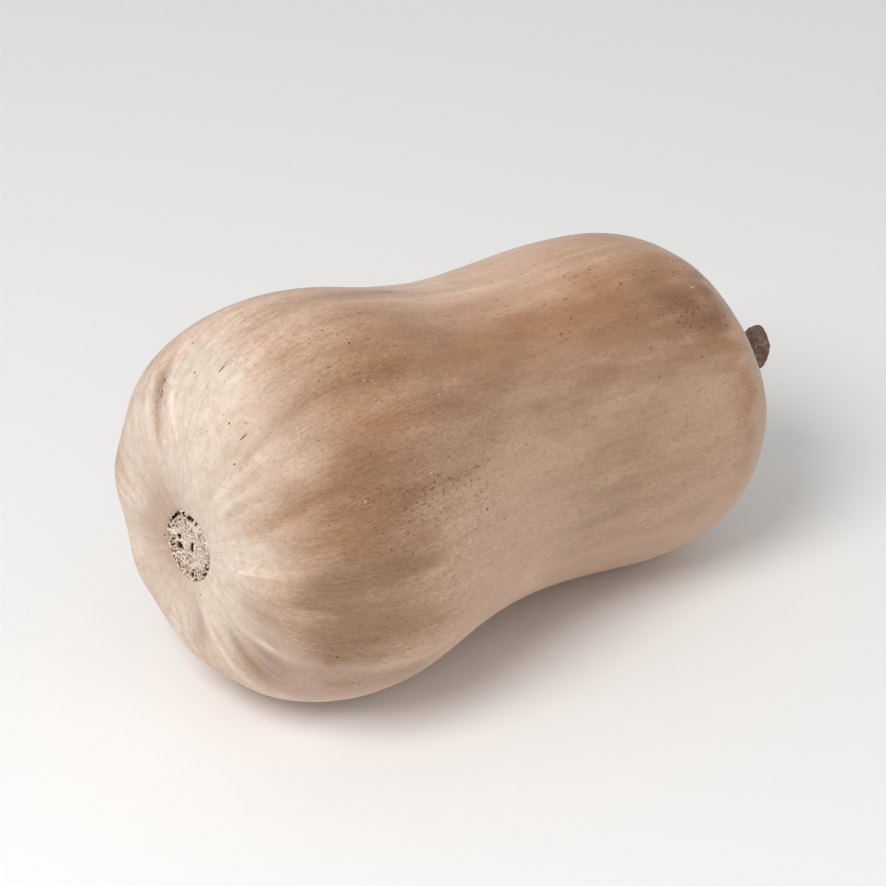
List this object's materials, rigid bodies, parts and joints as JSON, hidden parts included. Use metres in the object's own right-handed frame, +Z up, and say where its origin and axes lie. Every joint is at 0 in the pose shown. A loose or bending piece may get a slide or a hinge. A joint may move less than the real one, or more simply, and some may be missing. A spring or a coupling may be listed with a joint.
{
  "type": "butternut squash",
  "caption": "Whole butternut squash lying on its side: round bulb, thick slightly waisted neck, corky blossom scar and a short stub of stem.",
  "frame": {"origin": "on the surface the squash lies on, under the middle of its bounding box", "axes": "+X from the blossom end to the stem, +Z up, +Y completes a right-handed frame"},
  "size_m": [0.233, 0.1286, 0.1342],
  "materials": {
    "rind": "matte, waxy tan skin, paler at the blossom end, with a corky scar",
    "stem": "dry, fibrous grey-brown"
  },
  "bodies": {
    "root": {"fruit": "rind", "stem": "stem"}
  },
  "joints": []
}
